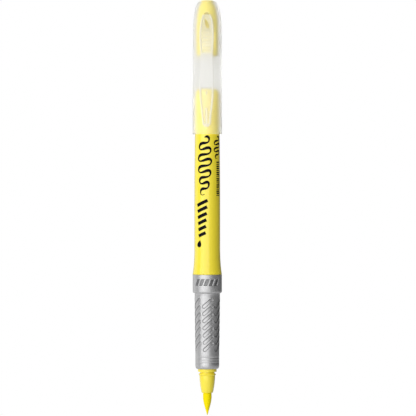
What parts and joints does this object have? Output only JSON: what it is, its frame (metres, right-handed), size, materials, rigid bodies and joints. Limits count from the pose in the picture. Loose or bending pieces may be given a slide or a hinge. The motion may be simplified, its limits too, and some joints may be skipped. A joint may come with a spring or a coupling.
{
  "type": "brush-tip highlighter",
  "caption": "Pen-style highlighter with a flexible pointed brush nib, a slotted grip sleeve, a slim flared barrel and a clear frosted clip cap posted on its tail.",
  "frame": {"origin": "the brush's writing point", "axes": "+Z along the pen from the writing point towards the tail and the posted cap, -Y towards the pocket clip, +X to the right seen from the clip side"},
  "size_m": [0.0118, 0.0143, 0.1655],
  "materials": {
    "barrel_yellow": "glossy moulded yellow plastic",
    "cap_yellow": "satin moulded yellow plastic",
    "brush_felt": "ink-soaked bundled fibre",
    "reservoir_fibre": "ink-soaked fibre rod",
    "film": "clear plastic film",
    "holder_white": "natural white moulded plastic",
    "grip_silver": "satin silver-pigmented plastic",
    "frosted_clear": "frosted clear plastic",
    "print_ink": "dark pad-printed ink"
  },
  "bodies": {
    "pen": {"barrel": "barrel_yellow", "tail_plug": "barrel_yellow", "reservoir_core": "reservoir_fibre", "reservoir_wrap": "film", "nib_housing": "barrel_yellow", "grip_sleeve": "grip_silver", "nib_holder": "holder_white", "nib_wick": "brush_felt"},
    "brush": {"brush_tip": "brush_felt"},
    "seal": {"inner_cap": "cap_yellow"},
    "cap": {"cap_shell": "frosted_clear"},
    "clip": {"clip": "frosted_clear"}
  },
  "joints": [
    {"name": "cap_slide", "type": "slide", "parent": "pen", "child": "seal", "axis": [0, 0, 1], "range_m": [0, 0.03]},
    {"name": "cap_twist", "type": "hinge", "parent": "seal", "child": "cap", "pos_m": [0, 0, 0.15], "axis": [0, 0, 1], "continuous": true},
    {"name": "clip_flex", "type": "hinge", "parent": "cap", "child": "clip", "pos_m": [0, -0.00815, 0.15], "axis": [1, 0, 0], "range_deg": [-3, 0], "stiffness_Nm_per_rad": 1.2},
    {"name": "brush_bend", "type": "hinge", "parent": "pen", "child": "brush", "pos_m": [0, 0, 0.009], "axis": [1, 0, 0], "range_deg": [-20, 20], "stiffness_Nm_per_rad": 0.02}
  ]
}
